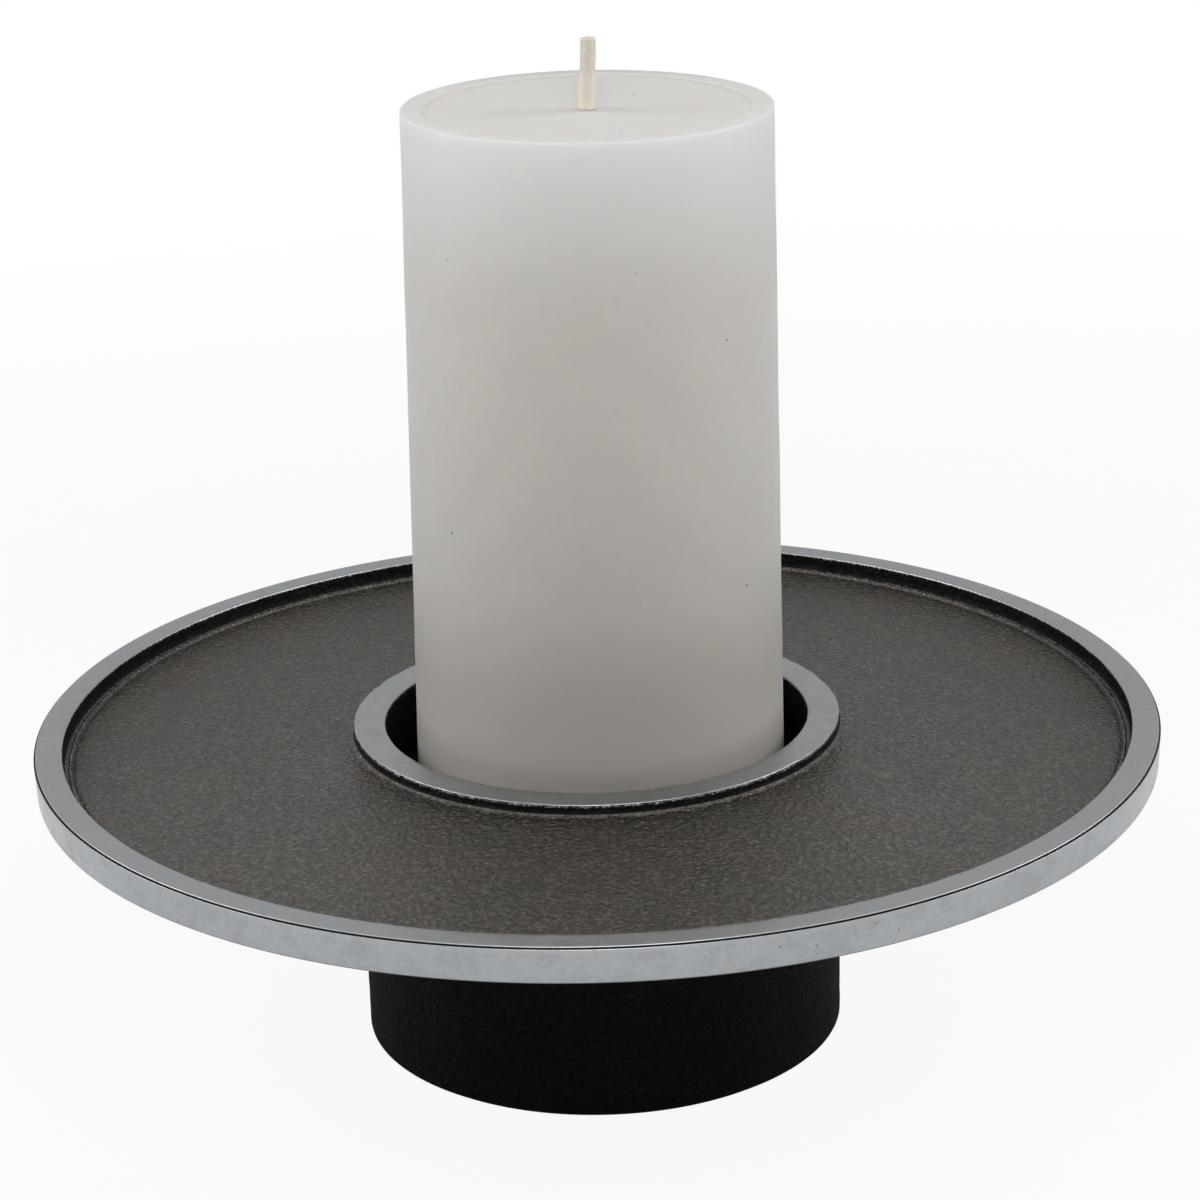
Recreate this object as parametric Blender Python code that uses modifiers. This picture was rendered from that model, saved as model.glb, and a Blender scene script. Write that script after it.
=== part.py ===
# Candle plate: a sand-cast aluminium dish on a hollow round foot, with a cup for one pillar candle.
# Metres, +Z up. The origin is on the turning axis, at the level of the table under the felt ring.

import math

import bpy

# Gaps and seats
SEAT_GAP = 0.0003
CUP_PLAY = 0.0061

# Fineness of the round shapes
PLATE_STEPS = 96
CANDLE_STEPS = 64
TIN_STEPS = 32
WICK_STEPS = 16
ARC_STEP = math.radians(30)
SHARP_ANGLE = math.radians(35)
MERGE_DISTANCE = 0.00002

# Candle
CANDLE_RADIUS = 0.04115
CANDLE_TAPER = 0.00155
CANDLE_HEIGHT = 0.1538
CANDLE_LEAN = math.radians(0.48)
CANDLE_SHIFT = 0.0007
CANDLE_TOP_ROUND = 0.0007
CANDLE_FOOT_ROUND = 0.0012
CROWN_BAND = 0.0050
CROWN_STEP = 0.0003
CROWN_DISH = 0.0007
CROWN_FLAT_RADIUS = 0.0173
CROWN_CURVE_WIDTH = 0.00346
CROWN_CURVE_SHARE = 1 / 3

# Wick and its tin
WICK_RADIUS = 0.0019
WICK_TIP_RADIUS = 0.0017
WICK_SHOWN = 0.0152
WICK_ROUND = 0.0003
TIN_RADIUS = 0.0100
TIN_SHEET = 0.0004
TIN_NECK_HEIGHT = 0.0060

# Plate casting
CASTING_HEIGHT = 0.0727
PLATE_RADIUS = 0.1250
RIM_WIDTH = 0.0062
RIM_DEPTH = 0.0038
RIM_DRAFT = 0.0003
WEB_THICKNESS = 0.0040
WEB_GROWTH = 0.0010
RING_WALL = 0.0070
RING_DEPTH = 0.0027
CUP_DEPTH = 0.0170
CUP_FLOOR = 0.0050
FOOT_DRAFT = 0.00025
FOOT_WALL = 0.0070
CORE_DRAFT = 0.0015
EDGE_BREAK = 0.0004
RIM_FILLET = 0.0012
RING_FILLET = 0.0013
CUP_FILLET = 0.0020
UNDER_FILLET = 0.0060
CORE_FILLET = 0.0050
FOOT_ROUND = 0.0008

# Felt ring under the foot
FELT_THICKNESS = 0.0006
FELT_SETBACK = 0.00175
FELT_EDGE = 0.0002

# Levels and radii that follow from the sizes above
foot_level = FELT_THICKNESS + SEAT_GAP
top_level = foot_level + CASTING_HEIGHT
rim_floor_level = top_level - RIM_DEPTH
ring_floor_level = top_level - RING_DEPTH
rim_under_level = rim_floor_level - WEB_THICKNESS
foot_under_level = rim_under_level - WEB_GROWTH
cup_level = top_level - CUP_DEPTH
core_level = cup_level - CUP_FLOOR
rim_inner_radius = PLATE_RADIUS - RIM_WIDTH
cup_radius = CANDLE_RADIUS + CUP_PLAY
ring_radius = cup_radius + RING_WALL
foot_radius = ring_radius - FOOT_DRAFT
foot_inner_radius = foot_radius - FOOT_WALL
core_radius = foot_inner_radius - CORE_DRAFT
felt_radius = foot_radius - FELT_SETBACK
felt_inner_radius = foot_inner_radius + FELT_SETBACK
lean_lift = CANDLE_RADIUS * math.sin(CANDLE_LEAN)
candle_seat_level = cup_level + SEAT_GAP + lean_lift
wick_bore_radius = WICK_RADIUS + SEAT_GAP
tin_neck_radius = wick_bore_radius + TIN_SHEET


def clear_scene():
    for thing in list(bpy.data.objects):
        bpy.data.objects.remove(thing)


def make_collection(name):
    collection = bpy.data.collections.new(name)
    bpy.context.scene.collection.children.link(collection)
    return collection


def make_material(name, colour, roughness, metallic=0.0):
    material = bpy.data.materials.new(name)
    material.use_nodes = True
    shader = material.node_tree.nodes["Principled BSDF"]
    shader.inputs["Base Color"].default_value = (*colour, 1.0)
    shader.inputs["Roughness"].default_value = roughness
    shader.inputs["Metallic"].default_value = metallic
    material.diffuse_color = (*colour, 1.0)
    return material


def arc(centre, radius, first, last):
    """Points (r, z) along an arc, with its angles in degrees."""
    sweep = math.radians(last - first)
    count = max(1, round(abs(sweep) / ARC_STEP))
    angles = [math.radians(first) + sweep * step / count for step in range(count + 1)]
    return [
        (centre[0] + radius * math.cos(angle), centre[1] + radius * math.sin(angle))
        for angle in angles
    ]


def turn(name, profile, steps, collection, closed=False):
    """A body of revolution: the profile (r, z) runs down its outer side and is screwed round Z."""
    mesh = bpy.data.meshes.new(name)
    points = [(radius, 0.0, level) for radius, level in profile]
    edges = [(i, i + 1) for i in range(len(points) - 1)]
    if closed:
        edges.append((len(points) - 1, 0))
    mesh.from_pydata(points, edges, [])
    body = bpy.data.objects.new(name, mesh)
    collection.objects.link(body)
    screw = body.modifiers.new("Turn", "SCREW")
    screw.axis = "Z"
    screw.angle = math.tau
    screw.steps = steps
    screw.render_steps = steps
    screw.use_merge_vertices = True
    screw.merge_threshold = MERGE_DISTANCE
    screw.use_smooth_shade = True
    return body


def settle(body):
    """Turns the live shape into a plain mesh with smooth faces and sharp corners."""
    bpy.context.view_layer.update()
    graph = bpy.context.evaluated_depsgraph_get()
    mesh = bpy.data.meshes.new_from_object(body.evaluated_get(graph))
    body.modifiers.clear()
    body.data = mesh
    mesh.shade_smooth()
    mesh.set_sharp_from_angle(angle=SHARP_ANGLE)
    return body


def casting_profile():
    cup_foot = (cup_radius - CUP_FILLET, cup_level + CUP_FILLET)
    ring_foot = (ring_radius + RING_FILLET, ring_floor_level + RING_FILLET)
    rim_foot = (rim_inner_radius - RIM_FILLET, rim_floor_level + RIM_FILLET)
    face_radius = PLATE_RADIUS - RIM_DRAFT
    rim_bottom = (face_radius - EDGE_BREAK, rim_under_level + EDGE_BREAK)
    under_foot = (foot_radius + UNDER_FILLET, foot_under_level - UNDER_FILLET)
    foot_outside = (foot_radius - FOOT_ROUND, foot_level + FOOT_ROUND)
    foot_inside = (foot_inner_radius + FOOT_ROUND, foot_level + FOOT_ROUND)
    core_corner = (core_radius - CORE_FILLET, core_level - CORE_FILLET)
    return [
        (0.0, cup_level),
        *arc(cup_foot, CUP_FILLET, -90, 0),
        (cup_radius, top_level - EDGE_BREAK),
        (cup_radius + EDGE_BREAK, top_level),
        (ring_radius - EDGE_BREAK, top_level),
        (ring_radius, top_level - EDGE_BREAK),
        *arc(ring_foot, RING_FILLET, 180, 270),
        *arc(rim_foot, RIM_FILLET, 270, 360),
        (rim_inner_radius, top_level - EDGE_BREAK),
        (rim_inner_radius + EDGE_BREAK, top_level),
        (PLATE_RADIUS - EDGE_BREAK, top_level),
        (PLATE_RADIUS, top_level - EDGE_BREAK),
        *arc(rim_bottom, EDGE_BREAK, 0, -90),
        *arc(under_foot, UNDER_FILLET, 90, 180),
        *arc(foot_outside, FOOT_ROUND, 0, -90),
        *arc(foot_inside, FOOT_ROUND, 270, 180),
        *arc(core_corner, CORE_FILLET, 0, 90),
        (0.0, core_level),
    ]


def build_casting(collection, coat, bare_metal):
    """The one-piece casting. Its rim face, rim top and ring top are turned bright in one cut."""
    body = settle(turn("plate_casting", casting_profile(), PLATE_STEPS, collection))
    body.data.materials.append(coat)
    body.data.materials.append(bare_metal)
    for face in body.data.polygons:
        on_top = face.center.z > top_level - EDGE_BREAK
        on_rim = math.hypot(face.center.x, face.center.y) > PLATE_RADIUS - RIM_DRAFT - EDGE_BREAK
        face.material_index = int(on_top or on_rim)


def felt_profile():
    """Closed section of the die-cut ring, with its edges a little worn."""
    return [
        (felt_inner_radius, FELT_THICKNESS),
        (felt_radius, FELT_THICKNESS),
        (felt_radius, FELT_EDGE),
        (felt_radius - FELT_EDGE, 0.0),
        (felt_inner_radius + FELT_EDGE, 0.0),
        (felt_inner_radius, FELT_EDGE),
    ]


def build_felt(collection, felt):
    ring = settle(turn("felt_ring", felt_profile(), PLATE_STEPS, collection, closed=True))
    ring.data.materials.append(felt)


def wax_profile():
    """Closed section of the wax, from the wick's bore out, down the side and back along the base."""
    top_radius = CANDLE_RADIUS - CANDLE_TAPER
    band_radius = top_radius - CROWN_BAND
    step_level = CANDLE_HEIGHT - CROWN_STEP
    dish_level = step_level - CROWN_DISH
    curve_radius = band_radius - CROWN_CURVE_WIDTH
    curve_level = step_level - CROWN_DISH * CROWN_CURVE_SHARE
    recess_level = TIN_SHEET + SEAT_GAP
    neck_level = TIN_NECK_HEIGHT + SEAT_GAP
    tin_recess_radius = TIN_RADIUS + SEAT_GAP
    neck_recess_radius = tin_neck_radius + SEAT_GAP
    top_edge = (top_radius - CANDLE_TOP_ROUND, CANDLE_HEIGHT - CANDLE_TOP_ROUND)
    foot_edge = (CANDLE_RADIUS - CANDLE_FOOT_ROUND, CANDLE_FOOT_ROUND)
    return [
        (wick_bore_radius, dish_level),
        (CROWN_FLAT_RADIUS, dish_level),
        (curve_radius, curve_level),
        (band_radius, step_level),
        (band_radius + CROWN_STEP, CANDLE_HEIGHT),
        *arc(top_edge, CANDLE_TOP_ROUND, 90, 0),
        *arc(foot_edge, CANDLE_FOOT_ROUND, 0, -90),
        (tin_recess_radius, 0.0),
        (tin_recess_radius, recess_level),
        (neck_recess_radius, recess_level),
        (neck_recess_radius, neck_level),
        (wick_bore_radius, neck_level),
    ]


def wick_profile():
    wick_top = CANDLE_HEIGHT - CROWN_STEP - CROWN_DISH + WICK_SHOWN
    tip = (WICK_TIP_RADIUS - WICK_ROUND, wick_top - WICK_ROUND)
    return [
        (0.0, wick_top),
        *arc(tip, WICK_ROUND, 90, 0),
        (WICK_RADIUS, CANDLE_HEIGHT),
        (WICK_RADIUS, 0.0),
        (0.0, 0.0),
    ]


def tin_profile():
    """Closed section of the stamped tin: a flat disc with a short neck round the wick."""
    return [
        (wick_bore_radius, TIN_NECK_HEIGHT),
        (tin_neck_radius, TIN_NECK_HEIGHT),
        (tin_neck_radius, TIN_SHEET),
        (TIN_RADIUS, TIN_SHEET),
        (TIN_RADIUS, 0.0),
        (wick_bore_radius, 0.0),
    ]


def build_candle(collection, wax, cotton, tinplate):
    """The candle's own pieces hang on an empty on its base, which is the axis that it lifts out along."""
    seat = bpy.data.objects.new("candle_seat", None)
    seat.location = (CANDLE_SHIFT, 0.0, candle_seat_level)
    seat.rotation_euler = (0.0, CANDLE_LEAN, 0.0)
    collection.objects.link(seat)
    pieces = [
        (turn("candle_wax", wax_profile(), CANDLE_STEPS, collection, closed=True), wax),
        (turn("candle_wick", wick_profile(), WICK_STEPS, collection), cotton),
        (turn("wick_tin", tin_profile(), TIN_STEPS, collection, closed=True), tinplate),
    ]
    for piece, material in pieces:
        settle(piece)
        piece.data.materials.append(material)
        piece.parent = seat


def main():
    clear_scene()
    collection = make_collection("candle_plate")
    coat = make_material("black cast coat", (0.020, 0.019, 0.018), 0.50)
    bare_metal = make_material("faced aluminium", (0.55, 0.56, 0.58), 0.32, 1.0)
    felt = make_material("black felt", (0.018, 0.018, 0.020), 0.95)
    wax = make_material("white wax", (0.78, 0.75, 0.70), 0.45)
    cotton = make_material("waxed cotton", (0.76, 0.68, 0.55), 0.70)
    tinplate = make_material("tinplate", (0.62, 0.62, 0.60), 0.35, 1.0)
    build_casting(collection, coat, bare_metal)
    build_felt(collection, felt)
    build_candle(collection, wax, cotton, tinplate)


main()
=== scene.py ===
# Looks of the candle plate: a black-coated sand casting with bright turned faces, and its pillar candle.

import math

import bpy
from mathutils import Matrix, Vector


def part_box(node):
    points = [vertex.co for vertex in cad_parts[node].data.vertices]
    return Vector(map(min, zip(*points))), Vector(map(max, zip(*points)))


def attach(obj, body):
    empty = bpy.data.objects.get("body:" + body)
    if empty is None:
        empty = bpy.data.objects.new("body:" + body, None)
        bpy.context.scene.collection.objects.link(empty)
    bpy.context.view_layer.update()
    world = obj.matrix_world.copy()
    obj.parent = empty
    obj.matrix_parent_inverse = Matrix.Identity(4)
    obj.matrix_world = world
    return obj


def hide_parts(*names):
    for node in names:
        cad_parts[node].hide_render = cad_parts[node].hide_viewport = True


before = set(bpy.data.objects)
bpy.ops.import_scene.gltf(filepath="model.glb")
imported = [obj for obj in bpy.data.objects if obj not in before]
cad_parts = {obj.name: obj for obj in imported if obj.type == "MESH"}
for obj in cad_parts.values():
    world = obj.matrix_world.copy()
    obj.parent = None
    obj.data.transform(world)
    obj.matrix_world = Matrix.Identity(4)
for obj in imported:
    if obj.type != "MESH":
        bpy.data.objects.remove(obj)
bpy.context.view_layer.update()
black, white = (0.0, 0.0, 0.0), (1.0, 1.0, 1.0)


# Node building, for the geometry trees and for the materials
def feed(tree, node, inputs):
    # an input takes a link where its value is another node's socket, and a plain value otherwise
    for key, value in inputs.items():
        if isinstance(value, bpy.types.NodeSocket):
            tree.links.new(value, node.inputs[key])
        else:
            node.inputs[key].default_value = value


def addNode(tree, kind, inputs=None, **settings):
    node = tree.nodes.new(kind)
    for key, value in settings.items():
        setattr(node, key, value)
    feed(tree, node, inputs or {})
    return node


def firstOf(tree, kind, inputs=None, **settings):
    return addNode(tree, kind, inputs, **settings).outputs[0]


def calc(tree, operation, *values):
    return firstOf(tree, "ShaderNodeMath", dict(enumerate(values)), operation=operation)


def plus(tree, first, second):
    return calc(tree, "ADD", first, second)


def minus(tree, first, second):
    return calc(tree, "SUBTRACT", first, second)


def times(tree, first, second):
    return calc(tree, "MULTIPLY", first, second)


def ratio(tree, first, second):
    return calc(tree, "DIVIDE", first, second)


def vectorCalc(tree, operation, inputs, output="Vector"):
    return addNode(tree, "ShaderNodeVectorMath", inputs, operation=operation).outputs[output]


def remap(tree, value, low, high, toLow=0.0, toHigh=1.0, curve="LINEAR"):
    inputs = {"Value": value, "From Min": low, "From Max": high, "To Min": toLow, "To Max": toHigh}
    return firstOf(tree, "ShaderNodeMapRange", inputs, interpolation_type=curve)


def ease(tree, value, low, high, toLow=0.0, toHigh=1.0):
    return remap(tree, value, low, high, toLow, toHigh, "SMOOTHSTEP")


def between(tree, share, start, end):
    return remap(tree, share, 0.0, 1.0, start, end)


def rgba(colour):
    return (*colour, 1.0)


def mixColour(tree, factor, *colours):
    first, second = (rgba(colour) if isinstance(colour, tuple) else colour for colour in colours)
    return addNode(tree, "ShaderNodeMix", {0: factor, 6: first, 7: second}, data_type="RGBA").outputs[2]


def partsOf(tree, vector):
    return addNode(tree, "ShaderNodeSeparateXYZ", {0: vector}).outputs


def vectorOf(tree, **parts):
    return firstOf(tree, "ShaderNodeCombineXYZ", parts)


def noiseOf(tree, vector, scale, detail=2.0, rough=0.5, **more):
    inputs = {"Vector": vector, "Scale": scale, "Detail": detail, "Roughness": rough, **more}
    return firstOf(tree, "ShaderNodeTexNoise", inputs)


def newGroup(name, kind, inputs, outputs):
    # an input stands with its plain value, or with its kind where it has none
    group = bpy.data.node_groups.new(name, kind)
    for label, value in inputs.items():
        socket = {int: "Int", float: "Float"}.get(type(value), value)
        made = group.interface.new_socket(label, in_out="INPUT", socket_type="NodeSocket" + socket)
        if socket != value:
            made.default_value = value
    for label, socket in outputs.items():
        group.interface.new_socket(label, in_out="OUTPUT", socket_type="NodeSocket" + socket)
    return group, group.nodes.new("NodeGroupInput").outputs, group.nodes.new("NodeGroupOutput")


def newEffect(name, sizes, results):
    inputs = {"Vector": "Vector", **sizes}
    return newGroup(name, "ShaderNodeTree", inputs, dict.fromkeys(results, "Float"))


def addObject(name, data):
    made = bpy.data.objects.new(name, data)
    bpy.context.scene.collection.objects.link(made)
    return made


# Camera at the photograph's angle, in metres and degrees
photoCamera = {"back": 0.73975, "overFoot": 0.35665, "down": 19.182, "roll": -1.732, "turn": -0.122,
               "lens": 106.03, "sensor": 36.0, "clipStart": 0.05, "clipEnd": 50.0}
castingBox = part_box("plate_casting")
footLevel = castingBox[0].z
topLevel = castingBox[1].z
plateRadius = castingBox[1].x


def placeCamera(sizes):
    turn, down, roll = (math.radians(sizes[key]) for key in ("turn", "down", "roll"))
    level = Vector((-math.sin(turn), math.cos(turn), 0.0))
    across = Vector((math.cos(turn), math.sin(turn), 0.0))
    ahead = level * math.cos(down) - Vector((0.0, 0.0, math.sin(down)))
    above = level * math.sin(down) + Vector((0.0, 0.0, math.cos(down)))
    imageRight = across * math.cos(roll) + above * math.sin(roll)
    imageUp = above * math.cos(roll) - across * math.sin(roll)
    place = Matrix((imageRight, imageUp, -ahead)).transposed().to_4x4()
    place.translation = (0.0, -sizes["back"], sizes["overFoot"] + footLevel)
    data = bpy.data.cameras.new("photoCamera")
    data.lens = sizes["lens"]
    data.sensor_width = sizes["sensor"]
    data.clip_start = sizes["clipStart"]
    data.clip_end = sizes["clipEnd"]
    camera = addObject("photoCamera", data)
    camera.matrix_world = place
    bpy.context.scene.camera = camera


placeCamera(photoCamera)
print("camera placed", photoCamera["back"], "m in front of the plate")


# Shader groups, each used by more than one finish
def makePebbleGroup():
    tree, given, result = newEffect("pebbled skin", {"Pebble Size": 0.0012, "Patch Size": 0.03},
                                    ["Height", "Tone"])
    scale = ratio(tree, 1.0, given["Pebble Size"])
    ripple = noiseOf(tree, given["Vector"], scale, 4.0, 0.62, Distortion=0.35)
    cells = firstOf(tree, "ShaderNodeTexVoronoi",
                    {"Vector": given["Vector"], "Scale": scale, "Smoothness": 0.7, "Randomness": 1.0},
                    feature="SMOOTH_F1")
    sunk = times(tree, cells, -0.45)
    patches = noiseOf(tree, given["Vector"], ratio(tree, 1.0, given["Patch Size"]), 4.0, 0.6)
    feed(tree, result, {"Height": plus(tree, ripple, sunk), "Tone": remap(tree, patches, 0.3, 0.7)})
    return tree


def makePinholeGroup():
    tree, given, result = newEffect("pinholes", {"Spacing": 0.01, "Hole Size": 0.0003, "Share": 0.5},
                                    ["Mask"])
    cells = addNode(tree, "ShaderNodeTexVoronoi",
                    {"Vector": given["Vector"], "Scale": ratio(tree, 1.0, given["Spacing"])})
    reach = times(tree, cells.outputs["Distance"], given["Spacing"])
    pick = addNode(tree, "ShaderNodeSeparateColor", {0: cells.outputs["Color"]})
    size = times(tree, given["Hole Size"], plus(tree, pick.outputs[1], 0.3))
    dot = remap(tree, ratio(tree, reach, size), 1.0, 0.4)
    chosen = calc(tree, "LESS_THAN", pick.outputs[0], given["Share"])
    feed(tree, result, {"Mask": times(tree, dot, chosen)})
    return tree


def makeTurningMarkGroup():
    tree, given, result = newEffect("turning marks", {"Along": 0.0, "Pitch": 0.0002}, ["Height", "Streak"])
    # the tool wanders a little, and its broad marks are wider than its fine ones
    wander, wanderScale, broadShare, fadeScale = 0.0006, 25.0, 0.12, 60.0
    wobble = times(tree, noiseOf(tree, given["Vector"], wanderScale, 1.0), wander)
    track = plus(tree, given["Along"], wobble)
    fine = ratio(tree, 1.0, given["Pitch"])
    cut = firstOf(tree, "ShaderNodeTexNoise", {"W": track, "Scale": fine, "Detail": 3.0, "Roughness": 0.7},
                  noise_dimensions="1D")
    broad = firstOf(tree, "ShaderNodeTexNoise",
                    {"W": track, "Scale": times(tree, fine, broadShare), "Detail": 2.0},
                    noise_dimensions="1D")
    marks = plus(tree, cut, broad)
    faded = noiseOf(tree, given["Vector"], fadeScale, 3.0, 0.6)
    feed(tree, result, {"Height": marks, "Streak": times(tree, marks, faded)})
    return tree


def makeEdgeWearGroup():
    tree, given, result = newEffect("edge wear", {"Edge": 0.0, "Chip Size": 0.0008, "Amount": 0.5},
                                    ["Mask"])
    chips = noiseOf(tree, given["Vector"], ratio(tree, 1.0, given["Chip Size"]), 4.0, 0.65)
    reach = times(tree, given["Edge"], chips)
    wear = plus(tree, reach, times(tree, given["Amount"], 0.5))
    feed(tree, result, {"Mask": remap(tree, wear, 0.62, 0.72)})
    return tree


def makeHandlingGroup():
    tree, given, result = newEffect("handling marks", {"Mark Size": 0.02, "Cover": 0.5}, ["Mask"])
    scale = ratio(tree, 1.0, given["Mark Size"])
    cloud = noiseOf(tree, given["Vector"], scale, 5.0, 0.62, Distortion=0.8)
    cut = minus(tree, 0.75, times(tree, given["Cover"], 0.5))
    softness = 0.14
    feed(tree, result, {"Mask": ease(tree, cloud, cut, plus(tree, cut, softness))})
    return tree


pebbledSkin = makePebbleGroup()
pinholes = makePinholeGroup()
turningMarks = makeTurningMarkGroup()
edgeWear = makeEdgeWearGroup()
handlingMarks = makeHandlingGroup()
print("shader groups ready")


def startMaterial(name, plain):
    material = bpy.data.materials.new(name)
    material.use_nodes = True
    tree = material.node_tree
    shader = tree.nodes["Principled BSDF"]
    feed(tree, shader, plain)
    place = addNode(tree, "ShaderNodeTexCoord").outputs["Object"]
    return material, tree, shader, place


def useGroup(tree, group, place, inputs):
    return addNode(tree, "ShaderNodeGroup", {"Vector": place, **inputs}, node_tree=group).outputs


def readAttribute(tree, name):
    return addNode(tree, "ShaderNodeAttribute", attribute_name=name).outputs["Fac"]


def skinOf(tree, place, size, patch):
    return useGroup(tree, pebbledSkin, place, {"Pebble Size": size, "Patch Size": patch})


def pitMask(tree, place, spacing, size, share):
    return useGroup(tree, pinholes, place, {"Spacing": spacing, "Hole Size": size, "Share": share})["Mask"]


def wearMask(tree, place, size, amount):
    inputs = {"Edge": readAttribute(tree, "edge"), "Chip Size": size, "Amount": amount}
    return useGroup(tree, edgeWear, place, inputs)["Mask"]


def handMask(tree, place, size, cover):
    return useGroup(tree, handlingMarks, place, {"Mark Size": size, "Cover": cover})["Mask"]


def addBump(tree, shader, height, depth):
    bump = firstOf(tree, "ShaderNodeBump", {"Strength": 1.0, "Distance": depth, "Height": height})
    feed(tree, shader, {"Normal": bump})


# The black coat over the cast skin: dull on the walls and the foot, rubbed to a shine in the dish. The
# walls and the foot are coloured darker than the dish, partly as painted shade where the plate shades them
wallCoat = {"name": "black coat", "dark": (0.005, 0.0046, 0.0043), "light": (0.0095, 0.0085, 0.0078),
            "crest": (0.018, 0.017, 0.016), "lint": (0.1, 0.095, 0.09), "lintShare": 0.3,
            "metal": (0.42, 0.42, 0.43), "shine": 0.08, "warmth": (1.0, 1.0, 1.0), "matt": 0.58,
            "satin": 0.46, "pebble": 0.00115, "pebbleDepth": 0.00055, "patch": 0.016, "hollow": 0.4}
dishCoat = {"name": "rubbed black coat", "dark": (0.02, 0.0178, 0.0105), "light": (0.035, 0.0205, 0.011),
            "crest": (0.092, 0.087, 0.077), "lint": (0.2, 0.19, 0.18), "lintShare": 0.7,
            "metal": (0.42, 0.42, 0.43), "shine": 0.68, "warmth": (1.0, 0.965, 0.915), "matt": 0.36,
            "satin": 0.13, "pebble": 0.0012, "pebbleDepth": 0.00062, "patch": 0.017, "hollow": 0.85}

# Lint and wear on both coats, and the parts of the skin's height that take painted shade (hollow), painted
# highlight (crest) and polish (polished)
coatMarks = {"lintSpacing": 0.0085, "lintSize": 0.0003, "chipSize": 0.0005, "wear": 0.4,
             "handSize": 0.035, "handCover": 0.5, "handShine": 0.4,
             "hollow": (0.1, 0.4), "crest": (0.31, 0.58), "polished": (0.12, 0.42)}


def makeBlackCoat(look, marks):
    material, tree, shader, place = startMaterial(
        look["name"], {"Specular IOR Level": look["shine"], "Specular Tint": rgba(look["warmth"])})
    skin = skinOf(tree, place, look["pebble"], look["patch"])
    lint = pitMask(tree, place, marks["lintSpacing"], marks["lintSize"], look["lintShare"])
    worn = wearMask(tree, place, marks["chipSize"], marks["wear"])
    rubbed = handMask(tree, place, marks["handSize"], marks["handCover"])
    tone = mixColour(tree, skin["Tone"], look["dark"], look["light"])
    # painted highlight: the crests of the pebbled skin are coloured lighter; painted shade: its hollows are
    # coloured darker, towards black
    crested = mixColour(tree, remap(tree, skin["Height"], *marks["crest"]), tone, look["crest"])
    sunk = remap(tree, skin["Height"], *marks["hollow"], look["hollow"], 0.0)
    shaded = mixColour(tree, sunk, crested, black)
    dusted = mixColour(tree, lint, shaded, look["lint"])
    # hands and cloths polish the crests of the pebbled skin, and its hollows stay matt
    polish = plus(tree, times(tree, rubbed, marks["handShine"]),
                  remap(tree, skin["Height"], *marks["polished"], 0.0, 1.0 - marks["handShine"]))
    feed(tree, shader, {"Base Color": mixColour(tree, worn, dusted, look["metal"]), "Metallic": worn,
                        "Roughness": between(tree, polish, look["matt"], look["satin"])})
    addBump(tree, shader, skin["Height"], look["pebbleDepth"])
    return material


# Bare aluminium as the facing tool left it
facedMetal = {"grey": (0.375, 0.394, 0.412), "bright": (0.435, 0.457, 0.478), "pit": (0.15, 0.15, 0.155),
              "dull": (0.305, 0.306, 0.308), "paintedEdgeHighlight": (0.78, 0.79, 0.8), "fine": 0.33, "hazy": 0.42,
              "pitch": 0.00022, "markDepth": 0.000014, "pitSpacing": 0.0024, "pitSize": 0.00022,
              "pitShare": 0.7, "pitDepth": 4.0, "hazeSize": 0.006, "hazeCover": 0.55, "hazeTone": 0.18,
              "mottleSize": 0.0006, "mottlePatch": 0.001, "mottleTone": 0.35,
              "edgeHighlightSize": 0.0005, "edgeHighlightShare": 0.3}


def makeFacedMetal(look):
    material, tree, shader, place = startMaterial("faced aluminium", {"Metallic": 1.0})
    marks = useGroup(tree, turningMarks, place, {"Along": readAttribute(tree, "along"),
                                                 "Pitch": look["pitch"]})
    pits = pitMask(tree, place, look["pitSpacing"], look["pitSize"], look["pitShare"])
    haze = handMask(tree, place, look["hazeSize"], look["hazeCover"])
    mottle = skinOf(tree, place, look["mottleSize"], look["mottlePatch"])
    paintedEdgeHighlight = wearMask(tree, place, look["edgeHighlightSize"], look["edgeHighlightShare"])
    tone = mixColour(tree, marks["Streak"], look["grey"], look["bright"])
    cloudy = plus(tree, times(tree, haze, look["hazeTone"]),
                  times(tree, mottle["Tone"], look["mottleTone"]))
    patchy = mixColour(tree, cloudy, tone, look["dull"])
    pitted = mixColour(tree, pits, patchy, look["pit"])
    # painted highlight: a bright ragged line is coloured along the cut edges of the faced metal
    feed(tree, shader, {"Base Color": mixColour(tree, paintedEdgeHighlight, pitted, look["paintedEdgeHighlight"]),
                        "Roughness": between(tree, haze, look["fine"], look["hazy"])})
    holes = times(tree, pits, -look["pitDepth"])
    addBump(tree, shader, plus(tree, marks["Height"], holes), look["markDepth"])
    return material


# Off-white candle wax: painted light on the side below the brim, lighter round the wick (soaked wax and
# painted light), and painted shade that greys it where it stands in the cup
candleWax = {"base": (0.8, 0.772, 0.722), "cloud": (0.765, 0.742, 0.7), "fleck": (0.77, 0.742, 0.698),
             "paintedBrimGlow": (0.888, 0.88, 0.878), "brimGlowLow": 0.172, "brimGlowHigh": 0.2085,
             "brimGlowNear": 0.0375, "brimGlowFar": 0.039,
             "paintedCupShade": (0.625, 0.592, 0.545), "cupShadeLow": 0.074, "cupShadeHigh": 0.118,
             "soaked": (0.97, 0.89, 0.8), "soakedGlowNear": 0.0026, "soakedGlowFar": 0.0056, "wickAt": 0.0019,
             "pit": (0.26, 0.24, 0.21), "glow": (1.0, 0.88, 0.74), "glowDepth": 0.0095, "glowShare": 0.9,
             "poured": (0.885, 0.86, 0.822), "satin": 0.44, "matt": 0.54, "shine": 0.3,
             "grainSize": 0.0019, "patchSize": 0.014, "grainDepth": 0.00004, "pitSpacing": 0.0082,
             "pitSize": 0.00042, "pitShare": 0.6, "pitDepth": 3.0, "handSize": 0.024, "handCover": 0.5}


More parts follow.
